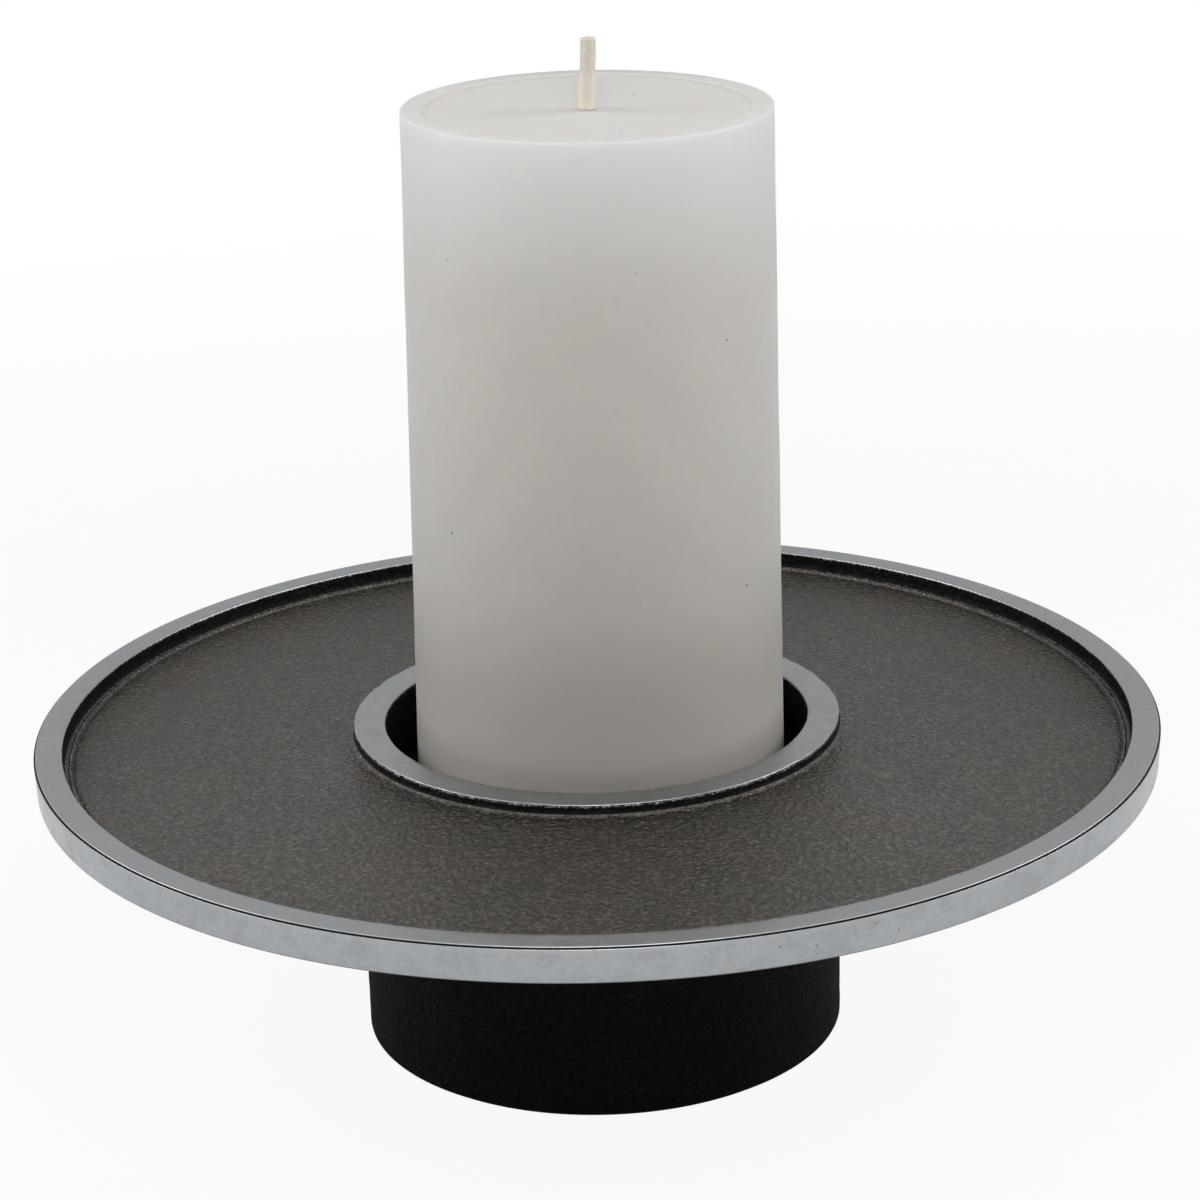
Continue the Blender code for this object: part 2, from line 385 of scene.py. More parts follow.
def makeCandleWax(look):
    material, tree, shader, place = startMaterial(
        "candle wax", {"Specular IOR Level": look["shine"], "Subsurface Weight": look["glowShare"],
                       "Subsurface Radius": look["glow"], "Subsurface Scale": look["glowDepth"]})
    grain = skinOf(tree, place, look["grainSize"], look["patchSize"])
    pits = pitMask(tree, place, look["pitSpacing"], look["pitSize"], look["pitShare"])
    rubbed = handMask(tree, place, look["handSize"], look["handCover"])
    at = partsOf(tree, place)
    tone = mixColour(tree, grain["Tone"], look["base"], look["cloud"])
    flecked = mixColour(tree, remap(tree, grain["Height"], 0.15, 0.55), tone, look["fleck"])
    # painted shade: the wax is coloured greyer towards the candle's foot, near the plate
    low = ease(tree, at["Z"], look["cupShadeLow"], look["cupShadeHigh"], 1.0, 0.0)
    paintedCupShade = mixColour(tree, low, flecked, look["paintedCupShade"])
    fromWick = vectorOf(tree, X=minus(tree, at["X"], look["wickAt"]), Y=at["Y"])
    reach = vectorCalc(tree, "LENGTH", {0: fromWick}, "Value")
    # painted light: a glow, standing in for light that passes in through the wax, lightens the side below
    # the brim, not the dull poured top
    high = ease(tree, at["Z"], look["brimGlowLow"], look["brimGlowHigh"])
    outer = ease(tree, reach, look["brimGlowNear"], look["brimGlowFar"])
    side = mixColour(tree, times(tree, high, outer), paintedCupShade, look["paintedBrimGlow"])
    upper = calc(tree, "GREATER_THAN", at["Z"], look["brimGlowHigh"])
    inside = times(tree, upper, minus(tree, 1.0, outer))
    clear = mixColour(tree, inside, side, look["poured"])
    # the wax round the wick is coloured lighter and warmer: partly soaked wax, partly painted light that
    # fills the shade round the wick's foot
    near = ease(tree, reach, look["soakedGlowNear"], look["soakedGlowFar"], 1.0, 0.0)
    soaked = mixColour(tree, near, clear, look["soaked"])
    feed(tree, shader, {"Base Color": mixColour(tree, pits, soaked, look["pit"]),
                        "Roughness": between(tree, rubbed, look["matt"], look["satin"])})
    holes = times(tree, pits, -look["pitDepth"])
    addBump(tree, shader, plus(tree, grain["Height"], holes), look["grainDepth"])
    return material


# Braided cotton soaked in wax
waxedCotton = {"cream": (0.94, 0.8, 0.62), "pale": (0.98, 0.88, 0.73), "rough": 0.62,
               "glow": (1.0, 0.8, 0.6), "glowDepth": 0.0012, "glowShare": 0.4, "stretch": 0.12,
               "fibreScale": 5200.0, "fibreDepth": 0.00005, "waxSize": 0.003, "waxCover": 0.6,
               "waxed": 0.42}


def makeWaxedCotton(look):
    material, tree, shader, place = startMaterial(
        "waxed cotton", {"Subsurface Weight": look["glowShare"], "Subsurface Radius": look["glow"],
                         "Subsurface Scale": look["glowDepth"]})
    stretched = firstOf(tree, "ShaderNodeMapping", {"Vector": place, "Scale": (1.0, 1.0, look["stretch"])})
    fibres = noiseOf(tree, stretched, look["fibreScale"], 3.0, 0.6)
    soaked = handMask(tree, place, look["waxSize"], look["waxCover"])
    tone = mixColour(tree, fibres, look["cream"], look["pale"])
    feed(tree, shader, {"Base Color": mixColour(tree, soaked, tone, look["pale"]),
                        "Roughness": between(tree, soaked, look["rough"], look["waxed"])})
    addBump(tree, shader, fibres, look["fibreDepth"])
    return material


# Dense black felt
blackFelt = {"dark": (0.012, 0.012, 0.013), "light": (0.034, 0.034, 0.037), "sheen": 0.3,
             "knotSize": 0.0005, "patchSize": 0.006, "fibreScale": 2600.0, "fibreDepth": 0.00012,
             "pressed": 0.88}


def makeBlackFelt(look):
    material, tree, shader, place = startMaterial("black felt", {"Sheen Weight": look["sheen"]})
    matted = skinOf(tree, place, look["knotSize"], look["patchSize"])
    fibres = noiseOf(tree, place, look["fibreScale"], 4.0, 0.7, Distortion=2.5)
    blend = times(tree, plus(tree, matted["Tone"], fibres), 0.5)
    feed(tree, shader, {"Base Color": mixColour(tree, blend, look["dark"], look["light"]),
                        "Roughness": remap(tree, fibres, 0.3, 0.7, look["pressed"], 1.0)})
    addBump(tree, shader, plus(tree, fibres, matted["Height"]), look["fibreDepth"])
    return material


# Stamped tinplate of the wick's foot
tinplate = {"grey": (0.5, 0.5, 0.49), "bright": (0.66, 0.66, 0.645), "dull": (0.33, 0.32, 0.3),
            "clean": 0.26, "stained": 0.5, "pitch": 0.0003, "markDepth": 0.000008, "chipSize": 0.0009,
            "wear": 0.35, "stainSize": 0.004, "stainCover": 0.45}


def makeTinplate(look):
    material, tree, shader, place = startMaterial("tinplate", {"Metallic": 1.0})
    rolled = useGroup(tree, turningMarks, place, {"Along": partsOf(tree, place)["X"],
                                                  "Pitch": look["pitch"]})
    worn = wearMask(tree, place, look["chipSize"], look["wear"])
    stained = handMask(tree, place, look["stainSize"], look["stainCover"])
    tone = mixColour(tree, rolled["Streak"], look["grey"], look["bright"])
    dulled = mixColour(tree, stained, tone, look["dull"])
    feed(tree, shader, {"Base Color": mixColour(tree, worn, dulled, look["bright"]),
                        "Roughness": between(tree, stained, look["clean"], look["stained"])})
    addBump(tree, shader, rolled["Height"], look["markDepth"])
    return material


wallMaterial = makeBlackCoat(wallCoat, coatMarks)
dishMaterial = makeBlackCoat(dishCoat, coatMarks)
metalMaterial = makeFacedMetal(facedMetal)
waxMaterial = makeCandleWax(candleWax)
cottonMaterial = makeWaxedCotton(waxedCotton)
feltMaterial = makeBlackFelt(blackFelt)
tinMaterial = makeTinplate(tinplate)
print("finishes ready:", len(bpy.data.materials), "materials")


# Every turned piece is a profile of rows (radius, level, skin, finish), which one geometry tree turns
# round Z. skin is how much of the cast or poured unevenness a row takes, from 0 for none.
skinFinish, cutFinish, rubbedFinish, scribedFinish, crestFinish = range(5)
wearReach = 0.0011


class Profile(list):
    # the rows of one turned section, in order
    def add(self, radius, level, skin, finish=skinFinish):
        self.append((radius, level, skin, finish))

    def corner(self, place, radius, first, last, count, skin, finish=skinFinish):
        # an arc that touches both sides of a corner; its angles say on which side its centre lies
        middle = math.radians((first + last) / 2)
        centre = [at - math.copysign(radius, way) for at, way in
                  zip(place, (math.cos(middle), math.sin(middle)))]
        for step in range(count + 1):
            angle = math.radians(first + (last - first) * step / count)
            out, up = radius * math.cos(angle), radius * math.sin(angle)
            self.add(centre[0] + out, centre[1] + up, skin, finish)

    def run(self, end, count, skin, finish=skinFinish):
        # a straight stretch from the row before it
        start = self[-1]
        for step in range(1, count + 1):
            radius, level = (a + (b - a) * (step / count) for a, b in zip(start, end))
            self.add(radius, level, skin, finish)

    def reach(self, end, spacing, skin, finish=skinFinish):
        self.run(end, max(1, round(math.dist(self[-1][:2], end) / spacing)), skin, finish)


def profileMesh(name, rows):
    points = [Vector((row[0], 0.0, row[1])) for row in rows]
    along = [0.0]
    for before, after in zip(points, points[1:]):
        along.append(along[-1] + (after - before).length)
    outward = []
    for i in range(len(points)):
        way = points[min(i + 1, len(points) - 1)] - points[max(i - 1, 0)]
        outward.append(Vector((-way.z, 0.0, way.x)).normalized())
    finishes = [row[3] for row in rows]
    cut = [float(finish == cutFinish) for finish in finishes]
    rubbed = [float(finish in (rubbedFinish, crestFinish)) for finish in finishes]
    # coat wears off along the cut edges and along a crest, and stays in a scribed line
    borders = [along[i] for i in range(1, len(rows))
               if cut[i] != cut[i - 1] and scribedFinish not in finishes[i - 1:i + 1]]
    borders += [along[i] for i in range(len(rows)) if finishes[i] == crestFinish]
    nearness = [max([math.exp(-abs(here - border) / wearReach) for border in borders], default=0.0)
                for here in along]
    mesh = bpy.data.meshes.new(name)
    mesh.from_pydata(points, [(i, i + 1) for i in range(len(points) - 1)], [])
    for key, values in (("skin", [row[2] for row in rows]), ("cut", cut), ("rubbed", rubbed),
                        ("along", along), ("edge", nearness)):
        mesh.attributes.new(key, "FLOAT", "POINT").data.foreach_set("value", values)
    flat = [number for normal in outward for number in normal]
    mesh.attributes.new("outward", "FLOAT_VECTOR", "POINT").data.foreach_set("vector", flat)
    return mesh


def readNumber(tree, name, kind="FLOAT"):
    return firstOf(tree, "GeometryNodeInputNamedAttribute", {"Name": name}, data_type=kind)


def settleMesh(tree, geometry, material):
    for kind in ("GeometryNodeSetShadeSmooth", "GeometryNodeRealizeInstances"):
        geometry = firstOf(tree, kind, {"Geometry": geometry})
    return firstOf(tree, "GeometryNodeSetMaterial", {"Geometry": geometry, "Material": material})


def makeTurningTree():
    tree, given, result = newGroup(
        "turned body", "GeometryNodeTree",
        {"Profile": "Geometry", "Steps": 96, "Lump Size": 0.006, "Lump Height": 0.0, "Grain Size": 0.002,
         "Grain Height": 0.0, "Seed": 0.0, "Skin Material": "Material", "Cut Material": "Material",
         "Rubbed Material": "Material"}, {"Body": "Geometry"})
    tree.is_modifier = True
    rowCount = firstOf(tree, "GeometryNodeAttributeDomainSize", {0: given["Profile"]})
    grid = firstOf(tree, "GeometryNodeMeshGrid", {"Vertices X": plus(tree, given["Steps"], 1.0),
                                                  "Vertices Y": rowCount})
    index = firstOf(tree, "GeometryNodeInputIndex")
    column = calc(tree, "FLOOR", ratio(tree, index, rowCount))
    row = minus(tree, index, times(tree, column, rowCount))
    angle = times(tree, ratio(tree, column, given["Steps"]), -math.tau)
    cosine = calc(tree, "COSINE", angle)
    sine = calc(tree, "SINE", angle)

    def sample(value, kind):
        inputs = {"Geometry": given["Profile"], "Value": value, "Index": row}
        return firstOf(tree, "GeometryNodeSampleIndex", inputs, data_type=kind, domain="POINT")

    def swing(vector):
        parts = partsOf(tree, vector)
        return vectorOf(tree, X=times(tree, parts["X"], cosine),
                        Y=times(tree, parts["X"], sine), Z=parts["Z"])

    here = swing(sample(firstOf(tree, "GeometryNodeInputPosition"), "FLOAT_VECTOR"))
    outward = swing(sample(readNumber(tree, "outward", "FLOAT_VECTOR"), "FLOAT_VECTOR"))
    uneven = []
    for size, height in (("Lump Size", "Lump Height"), ("Grain Size", "Grain Height")):
        scale = ratio(tree, 1.0, given[size])
        cloud = firstOf(tree, "ShaderNodeTexNoise", {"Vector": here, "W": given["Seed"], "Scale": scale,
                                                     "Detail": 2.0}, noise_dimensions="4D")
        uneven.append(times(tree, minus(tree, cloud, 0.5), given[height]))
    depth = times(tree, plus(tree, *uneven), sample(readNumber(tree, "skin"), "FLOAT"))
    offset = vectorCalc(tree, "SCALE", {0: outward, "Scale": depth})
    body = grid
    for name in ("skin", "cut", "rubbed", "along", "edge"):
        body = firstOf(tree, "GeometryNodeStoreNamedAttribute",
                       {"Geometry": body, "Name": name, "Value": sample(readNumber(tree, name), "FLOAT")},
                       data_type="FLOAT", domain="POINT")
    body = firstOf(tree, "GeometryNodeSetPosition", {"Geometry": body, "Position": here, "Offset": offset})
    body = firstOf(tree, "GeometryNodeMergeByDistance", {"Geometry": body, "Distance": 0.00001})
    body = settleMesh(tree, body, given["Skin Material"])
    for name, label in (("cut", "Cut Material"), ("rubbed", "Rubbed Material")):
        chosen = firstOf(tree, "FunctionNodeCompare", {"A": readNumber(tree, name), "B": 0.9},
                         data_type="FLOAT", operation="GREATER_THAN")
        body = firstOf(tree, "GeometryNodeSetMaterial",
                       {"Geometry": body, "Selection": chosen, "Material": given[label]})
    feed(tree, result, {"Body": body})
    return tree


def setInputs(modifier, values):
    for item in modifier.node_group.interface.items_tree:
        if item.item_type == "SOCKET" and item.in_out == "INPUT" and item.name in values:
            modifier[item.identifier] = values[item.name]


def growPiece(name, mesh, tree, values):
    # runs a geometry tree on a base mesh and keeps its result as a plain mesh
    piece = addObject(name, mesh)
    modifier = piece.modifiers.new("grow", "NODES")
    modifier.node_group = tree
    setInputs(modifier, values)
    bpy.context.view_layer.update()
    graph = bpy.context.evaluated_depsgraph_get()
    grown = bpy.data.meshes.new_from_object(piece.evaluated_get(graph))
    grown.name = name
    piece.modifiers.clear()
    piece.data = grown
    print(name, "has", len(grown.polygons), "faces")
    return piece


def dressNode(piece, node, body):
    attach(piece, body)
    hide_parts(node)


def oneFinish(material):
    return {"Skin Material": material, "Cut Material": material, "Rubbed Material": material}


turningTree = makeTurningTree()


def turnPiece(name, rows, values):
    return growPiece(name, profileMesh(name, rows), turningTree, values)


# Plate casting
plateSizes = {"rimWidth": 0.0062, "rimDepth": 0.0038, "rimDraft": 0.0003, "web": 0.004,
              "webGrowth": 0.001, "ringWall": 0.007, "ringDepth": 0.0027,
              "cupRadius": 0.04725, "cupDepth": 0.017, "cupFloor": 0.005, "footDraft": 0.00025,
              "footWall": 0.007, "coreDraft": 0.0015, "edgeBreak": 0.0004, "rimFillet": 0.0012,
              "ringFillet": 0.0013, "cupFillet": 0.002, "underFillet": 0.006, "coreFillet": 0.005,
              "footRound": 0.0008, "beadHeight": 0.00045, "beadWidth": 0.0007, "toolStep": 0.0004,
              "steps": 420, "floorRows": 56, "beadRows": 8, "crestRow": 6}
# how far apart the rows of each stretch lie
rowGaps = {"cup": 0.006, "cupWall": 0.0018, "cut": 0.0012, "ringWall": 0.0003, "rimWall": 0.0005,
           "under": 0.0045, "foot": 0.0024, "footEdge": 0.0014, "core": 0.005}
plateSkin = {"Lump Size": 0.0055, "Lump Height": 0.00022, "Grain Size": 0.0017, "Grain Height": 0.0005,
             "Seed": 3.0}


def castingRows(sizes, gaps):
    cupLevel = topLevel - sizes["cupDepth"]
    rimFloor = topLevel - sizes["rimDepth"]
    ringFloor = topLevel - sizes["ringDepth"]
    webUnder = rimFloor - sizes["web"]
    footUnder = webUnder - sizes["webGrowth"]
    coreLevel = cupLevel - sizes["cupFloor"]
    cupRadius = sizes["cupRadius"]
    ringRadius = cupRadius + sizes["ringWall"]
    rimInner = plateRadius - sizes["rimWidth"]
    footRadius = ringRadius - sizes["footDraft"]
    footInner = footRadius - sizes["footWall"]
    coreRadius = footInner - sizes["coreDraft"]
    small = sizes["edgeBreak"]
    rows = Profile()
    rows.add(0.0, cupLevel, 0.4)
    rows.reach((cupRadius - sizes["cupFillet"], cupLevel), gaps["cup"], 0.5)
    rows.corner((cupRadius, cupLevel), sizes["cupFillet"], -80, 0, 4, 0.8)
    rows.reach((cupRadius, topLevel - small * 1.5), gaps["cupWall"], 0.8)
    # the ring's cut top; the cast skin makes its two edges ragged
    rows.corner((cupRadius, topLevel), small, 180, 100, 3, 0.5, cutFinish)
    rows.reach((ringRadius - small, topLevel), gaps["cut"], 0.0, cutFinish)
    keen = small * 0.4
    rows.corner((ringRadius, topLevel), keen, 60, 10, 2, 1.2, cutFinish)
    rows.add(ringRadius, topLevel - small, 1.5)
    rows.reach((ringRadius, ringFloor + sizes["ringFillet"]), gaps["ringWall"], 1.5)
    rows.corner((ringRadius, ringFloor), sizes["ringFillet"], 190, 200, 1, 1.2)
    # the dish floor, smoother than the walls, runs to the groove and bead at the rim's foot
    rows.corner((ringRadius, ringFloor), sizes["ringFillet"], 212, 270, 5, 0.9, rubbedFinish)
    floorEnd = rimInner - sizes["rimFillet"] - 2 * sizes["beadWidth"]
    rows.run((floorEnd, rimFloor), sizes["floorRows"], 0.35, rubbedFinish)
    for step in range(1, sizes["beadRows"] + 1):
        share = step / sizes["beadRows"]
        wave = -sizes["beadHeight"] * math.sin(share * math.tau) * math.sin(share * math.pi)
        finish = crestFinish if step == sizes["crestRow"] else rubbedFinish
        rows.add(floorEnd + 2 * sizes["beadWidth"] * share, rimFloor + wave, 0.9, finish)
    rows.corner((rimInner, rimFloor), sizes["rimFillet"], 278, 310, 2, 1.1, rubbedFinish)
    rows.corner((rimInner, rimFloor), sizes["rimFillet"], 325, 360, 2, 1.1)
    rows.reach((rimInner, topLevel - small * 1.25), gaps["rimWall"], 1.1)
    # the rim's cut top and outer face, with the fine step that the tool left under its edge
    blunt = small * 0.5
    rows.corner((rimInner, topLevel), blunt, 180, 100, 3, 0.5, cutFinish)
    step = sizes["toolStep"]
    lip = step * 0.4
    rows.reach((plateRadius - step - lip, topLevel), gaps["cut"], 0.0, cutFinish)
    rows.corner((plateRadius - step, topLevel), lip, 65, 0, 2, 0.0, cutFinish)
    rows.add(plateRadius - step * 1.1, topLevel - step, 0.0, scribedFinish)
    rows.add(plateRadius - step * 0.6, topLevel - step * 1.1, 0.0, scribedFinish)
    rows.add(plateRadius - step * 0.1, topLevel - step * 1.15, 0.0, cutFinish)
    rows.add(plateRadius, topLevel - step * 1.4, 0.0, cutFinish)
    face = plateRadius - sizes["rimDraft"]
    rows.reach((face, webUnder + small), gaps["cut"], 0.0, cutFinish)
    rows.corner((face, webUnder), small, -20, -90, 3, 0.0, cutFinish)
    # the underside, the foot and its hollow, all as cast
    rows.add(face - small * 2, webUnder, 0.5)
    rows.reach((footRadius + sizes["underFillet"], footUnder), gaps["under"], 0.9)
    rows.corner((footRadius, footUnder), sizes["underFillet"], 102, 180, 6, 0.9)
    rows.reach((footRadius, footLevel + sizes["footRound"]), gaps["foot"], 0.6)
    rows.corner((footRadius, footLevel), sizes["footRound"], -18, -90, 4, 0.0)
    rows.reach((footInner + sizes["footRound"], footLevel), gaps["footEdge"], 0.0)
    rows.corner((footInner, footLevel), sizes["footRound"], 252, 180, 4, 0.3)
    rows.reach((coreRadius, coreLevel - sizes["coreFillet"]), gaps["core"], 0.9)
    rows.corner((coreRadius, coreLevel), sizes["coreFillet"], 15, 90, 5, 0.9)
    rows.reach((0.0, coreLevel), gaps["under"], 0.9)
    return rows


casting = turnPiece("castPlate", castingRows(plateSizes, rowGaps),
                    {"Steps": plateSizes["steps"], "Skin Material": wallMaterial,
                     "Cut Material": metalMaterial, "Rubbed Material": dishMaterial, **plateSkin})
dressNode(casting, "plate_casting", "plate")

# Felt ring under the foot
feltSizes = {"edge": 0.0002, "faceGap": 0.0005, "sideGap": 0.0002, "steps": 240}


def feltRows(sizes):
    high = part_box("felt_ring")[1]
    footRadius = plateSizes["cupRadius"] + plateSizes["ringWall"] - plateSizes["footDraft"]
    inner = footRadius - plateSizes["footWall"] + footRadius - high.x
    edge = sizes["edge"]
    rows = Profile()
    rows.add(inner, high.z, 0.5)
    rows.reach((high.x, high.z), sizes["faceGap"], 0.4)
    rows.reach((high.x, edge), sizes["sideGap"], 1.0)
    rows.add(high.x - edge, 0.0, 0.0)
    rows.reach((inner + edge, 0.0), sizes["faceGap"], 0.0)
    rows.add(inner, edge, 1.0)
    rows.reach((inner, high.z), sizes["sideGap"], 0.5)
    return rows


felt = turnPiece("feltRing", feltRows(feltSizes),
                 {"Steps": feltSizes["steps"], "Lump Size": 0.0012, "Lump Height": 0.0003,
                  "Grain Size": 0.0005, "Grain Height": 0.0002, "Seed": 8.0, **oneFinish(feltMaterial)})
dressNode(felt, "felt_ring", "plate")

# The candle stands a little off the middle and leans a little
candleSizes = {"height": 0.1538, "footRadius": 0.04115, "taper": 0.00155, "shift": 0.0007, "lean": 0.48,
               "seatGap": 0.0003, "topRound": 0.00045, "footRound": 0.0012, "band": 0.005,
               "groove": 0.00022, "step": 0.0003, "dish": 0.0007, "skirt": 0.0004, "skirtFall": 0.0012,
               "wickRadius": 0.0019, "wickShown": 0.0152, "tinRadius": 0.01, "tinSheet": 0.0004,
               "neckRadius": 0.0026, "neckHeight": 0.006, "wickOverlap": 0.0003, "skirtRows": 14,
               "skirtReach": 0.0075, "dishRows": 20, "grooveAcross": (0.00015, 0.00035, 0.0006),
               "recessRound": 0.0004, "steps": 256}
waxGaps = {"band": 0.0007, "side": 0.0009, "base": 0.002, "recess": 0.0002, "roof": 0.001,
           "neck": 0.0012, "bore": 0.0008}
leanAngle = math.radians(candleSizes["lean"])
seatLevel = (topLevel - plateSizes["cupDepth"] + candleSizes["seatGap"]
             + candleSizes["footRadius"] * math.sin(leanAngle))
candleSeat = Matrix.Translation((candleSizes["shift"], 0.0, seatLevel)) @ Matrix.Rotation(leanAngle, 4, "Y")


def waxRows(sizes, gaps):
    topRadius = sizes["footRadius"] - sizes["taper"]
    bandRadius = topRadius - sizes["band"]
    stepLevel = sizes["height"] - sizes["step"]
    start = sizes["wickRadius"] - sizes["wickOverlap"]
    rows = Profile()
    for step in range(sizes["skirtRows"] + 1):
        radius = start + sizes["skirtReach"] * (step / sizes["skirtRows"]) ** 1.6
        climb = sizes["skirt"] * math.exp((start - radius) / sizes["skirtFall"])
        rows.add(radius, stepLevel - sizes["dish"] + climb, 0.5)
    dishStart = rows[-1][0]
    for step in range(1, sizes["dishRows"] + 1):
        radius = dishStart + (bandRadius - dishStart) * step / sizes["dishRows"]
        hollow = sizes["dish"] * (1 - (radius / bandRadius) ** 4)
        rows.add(radius, stepLevel - hollow, 1.0)
    grooveLevels = (stepLevel - sizes["groove"], sizes["height"] - sizes["groove"], sizes["height"])
    for across, level in zip(sizes["grooveAcross"], grooveLevels):
        rows.add(bandRadius + across, level, 0.6)
    rows.reach((topRadius - sizes["topRound"], sizes["height"]), gaps["band"], 0.7)
    rows.corner((topRadius, sizes["height"]), sizes["topRound"], 75, 0, 5, 0.7)
    rows.reach((sizes["footRadius"], sizes["footRound"]), gaps["side"], 1.0)
    rows.corner((sizes["footRadius"], 0.0), sizes["footRound"], -15, -90, 5, 0.4)
    # the recess in the base that takes the tin
    blunt = sizes["recessRound"]
    recess, roof, neck = (sizes[key] + sizes["seatGap"] for key in ("tinRadius", "tinSheet", "neckRadius"))
    rows.reach((recess + blunt, 0.0), gaps["base"], 0.0)
    rows.corner((recess, 0.0), blunt, 255, 180, 3, 0.0)
    rows.reach((recess, roof), gaps["recess"], 0.0)
    rows.reach((neck, roof), gaps["roof"], 0.3)
    rows.reach((neck, sizes["neckHeight"]), gaps["neck"], 0.3)
    rows.reach((start, sizes["neckHeight"]), gaps["bore"], 0.3)
    rows.append(rows[0])
    return rows


wax = turnPiece("pouredWax", waxRows(candleSizes, waxGaps),
                {"Steps": candleSizes["steps"], "Lump Size": 0.021, "Lump Height": 0.0003,
                 "Grain Size": 0.0035, "Grain Height": 0.00005, "Seed": 5.0, **oneFinish(waxMaterial)})
wax.data.transform(candleSeat)
dressNode(wax, "candle_wax", "candle")

# Braided wick: strands cross over and under round a soaked core. Its tip is cut square, and is a little
# narrower and bent a little to one side.
wickSizes = {"strands": 12, "pitch": 0.0125, "braidRadius": 0.00155, "weave": 0.00005,
             "strandRadius": 0.00028, "sides": 6, "pointsPerTurn": 26, "coreRadius": 0.00186,
             "coreSteps": 28, "tipRadius": 0.00167, "tipLength": 0.008, "tipRound": 0.0003,
             "narrowing": 0.0012, "sealed": 0.00028, "bend": 0.0005, "bendFrom": 0.1535,
             "tipGap": 0.0008, "narrowGap": 0.0005, "coreGap": 0.0016, "endGap": 0.001}


def makeWickTree():
    tree, given, result = newGroup(
        "braided wick", "GeometryNodeTree",
        {"Core": "Geometry", "Length": 0.1, "Pitch": 0.01, "Strands": 8, "Points": 100,
         "Braid Radius": 0.001, "Weave": 0.0001, "Strand Radius": 0.0004, "Sides": 6, "Tip Length": 0.008,
         "Tip Narrowing": 0.0, "Narrowing Length": 0.001, "Bend From": 0.0, "Bend": 0.0,
         "Cotton": "Material"}, {"Wick": "Geometry"})
    tree.is_modifier = True
    line = firstOf(tree, "GeometryNodeMeshLine", {"Count": given["Points"]})
    line = firstOf(tree, "GeometryNodeMeshToCurve", {0: line})
    copies = addNode(tree, "GeometryNodeDuplicateElements", {"Geometry": line, "Amount": given["Strands"]},
                     domain="SPLINE")
    share = firstOf(tree, "GeometryNodeSplineParameter")
    level = times(tree, share, given["Length"])
    number = copies.outputs["Duplicate Index"]
    held = firstOf(tree, "GeometryNodeStoreNamedAttribute",
                   {"Geometry": copies.outputs["Geometry"], "Name": "strand", "Value": number},
                   data_type="FLOAT", domain="CURVE")
    strand = readNumber(tree, "strand")
    odd = calc(tree, "MODULO", strand, 2.0)
    way = minus(tree, 1.0, times(tree, odd, 2.0))
    turn = times(tree, ratio(tree, level, given["Pitch"]), math.tau)
    pair = calc(tree, "FLOOR", ratio(tree, strand, 2.0))
    start = ratio(tree, times(tree, pair, 2.0 * math.tau), given["Strands"])
    angle = plus(tree, times(tree, turn, way), start)
    crossing = times(tree, turn, ratio(tree, given["Strands"], 2.0))
    over = times(tree, calc(tree, "COSINE", crossing), way)
    lift = times(tree, over, given["Weave"])
    tipStart = minus(tree, given["Length"], given["Tip Length"])
    narrowStart = minus(tree, tipStart, given["Narrowing Length"])
    narrow = remap(tree, level, narrowStart, tipStart, 0.0, given["Tip Narrowing"])
    radius = minus(tree, plus(tree, given["Braid Radius"], lift), narrow)
    spot = vectorOf(tree, X=times(tree, radius, calc(tree, "COSINE", angle)),
                    Y=times(tree, radius, calc(tree, "SINE", angle)), Z=level)
    strands = firstOf(tree, "GeometryNodeSetPosition", {"Geometry": held, "Position": spot})
    circle = firstOf(tree, "GeometryNodeCurvePrimitiveCircle",
                     {"Resolution": given["Sides"], "Radius": given["Strand Radius"]})
    tubes = firstOf(tree, "GeometryNodeCurveToMesh",
                    {"Curve": strands, "Profile Curve": circle, "Fill Caps": True})
    joined = addNode(tree, "GeometryNodeJoinGeometry")
    tree.links.new(given["Core"], joined.inputs[0])
    tree.links.new(tubes, joined.inputs[0])
    height = partsOf(tree, firstOf(tree, "GeometryNodeInputPosition"))["Z"]
    lean = ease(tree, height, given["Bend From"], given["Length"], 0.0, given["Bend"])
    offset = vectorOf(tree, X=lean)
    bent = firstOf(tree, "GeometryNodeSetPosition", {"Geometry": joined.outputs[0], "Offset": offset})
    feed(tree, result, {"Wick": settleMesh(tree, bent, given["Cotton"])})
    return tree


def wickTop(sizes):
    return sizes["height"] - sizes["step"] - sizes["dish"] + sizes["wickShown"]


def coreRows(length, sizes):
    rows = Profile()
    rows.add(0.0, length, 0.2)
    rows.corner((sizes["tipRadius"], length), sizes["tipRound"], 75, 0, 5, 0.3)
    tipStart = length - sizes["tipLength"]
    rows.reach((sizes["tipRadius"], tipStart), sizes["tipGap"], 0.6)
    rows.reach((sizes["coreRadius"], tipStart - sizes["narrowing"]), sizes["narrowGap"], 0.6)
    rows.reach((sizes["coreRadius"], 0.0), sizes["coreGap"], 0.6)
    rows.reach((0.0, 0.0), sizes["endGap"], 0.0)
    return rows


